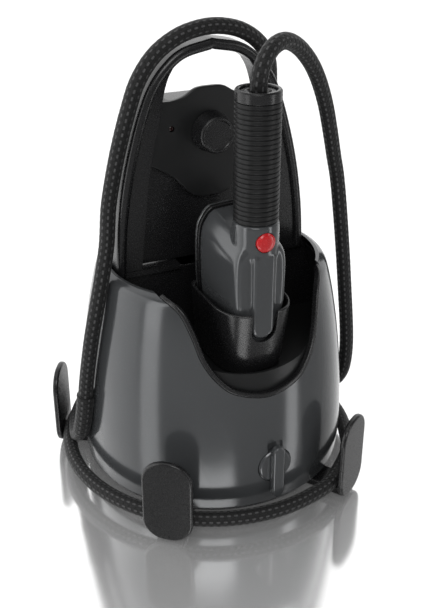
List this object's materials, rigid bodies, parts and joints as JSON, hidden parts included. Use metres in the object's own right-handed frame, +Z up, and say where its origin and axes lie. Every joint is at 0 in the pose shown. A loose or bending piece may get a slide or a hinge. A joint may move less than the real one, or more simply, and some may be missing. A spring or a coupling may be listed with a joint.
{
  "type": "steam generator iron",
  "caption": "Round steam station with a carry arch, a front cup that holds an upright hand-held steam iron, and a braided hose wound on hooks round its base.",
  "frame": {"origin": "middle of the round centre rest, on the surface that the station stands on", "axes": "+Z up along the station's axis; -Y towards the front, where the hand-piece stands in its cup; +X to the right seen from the front"},
  "size_m": [0.2758, 0.2736, 0.3894],
  "materials": {
    "body_grey": "metallic grey gloss",
    "black_plastic": "black satin gloss",
    "panel_grey": "dark grey satin",
    "grip_rubber": "dark grey soft grip with fine rings",
    "red_button": "red gloss",
    "hose_braid": "black braid with light flecks",
    "rubber": "matt black",
    "steel": "brushed",
    "aluminium": "satin",
    "brass": "turned",
    "board": "green",
    "lens": "dark red lens"
  },
  "bodies": {
    "station": {"outer_shell": "body_grey", "base_tray": "black_plastic", "hook_left": "black_plastic", "hook_front_left": "black_plastic", "hook_front_right": "black_plastic", "hook_rear": "black_plastic", "notch_trim": "black_plastic", "holster_cup": "black_plastic", "carry_frame": "black_plastic", "tower_cover": "black_plastic", "switch_frame": "black_plastic", "well_liner": "panel_grey", "well_back": "panel_grey", "front_panel": "panel_grey", "recess_panel": "panel_grey", "steam_hose": "hose_braid", "foot_1": "rubber", "foot_2": "rubber", "foot_3": "rubber", "foot_4": "rubber", "centre_rest": "rubber", "hose_gland": "rubber", "mains_inlet": "rubber", "boiler_lower": "steel", "boiler_upper": "steel", "boiler_clamp": "steel", "heating_element": "steel", "filler_pipe": "steel", "thermostat": "aluminium", "solenoid_valve": "aluminium", "pressure_switch": "brass", "safety_valve": "brass", "steam_pipe": "brass", "filler_neck": "brass", "drain_seat": "brass", "control_board": "board", "indicator_lens": "lens"},
    "filler_cap_plug": {"filler_plug": "brass"},
    "filler_cap_knob": {"filler_knob": "black_plastic"},
    "drain_cap": {"descale_plug": "body_grey"},
    "switch_rocker": {"power_rocker": "black_plastic"},
    "button": {"steam_button": "red_button"},
    "handpiece": {"handpiece_housing": "body_grey", "ribbed_grip": "grip_rubber", "strain_relief": "black_plastic", "steam_switch": "black_plastic", "heat_shield": "black_plastic", "soleplate": "aluminium", "steam_chamber": "aluminium", "steam_hose_loop": "hose_braid"}
  },
  "joints": [
    {"name": "handpiece_lift", "type": "slide", "parent": "station", "child": "handpiece", "axis": [0, 0, 1], "range_m": [0, 0.11]},
    {"name": "steam_button_press", "type": "slide", "parent": "handpiece", "child": "button", "axis": [0, 1, 0], "range_m": [0, 0.0022], "stiffness_N_per_m": 900},
    {"name": "filler_cap_slide", "type": "slide", "parent": "station", "child": "filler_cap_plug", "axis": [0, -1, 0], "range_m": [0, 0.012]},
    {"name": "filler_cap_turn", "type": "hinge", "parent": "filler_cap_plug", "child": "filler_cap_knob", "pos_m": [0, 0, 0.302], "axis": [0, -1, 0], "range_deg": [0, 90]},
    {"name": "descale_plug_turn", "type": "hinge", "parent": "station", "child": "drain_cap", "pos_m": [0, 0, 0.052], "axis": [0.0436, -0.999, 0], "range_deg": [0, 90]},
    {"name": "power_rocker_tilt", "type": "hinge", "parent": "station", "child": "switch_rocker", "pos_m": [-0.04776, 0.10241, 0.066], "axis": [-0.9063, -0.4226, 0], "range_deg": [-8, 8]}
  ]
}
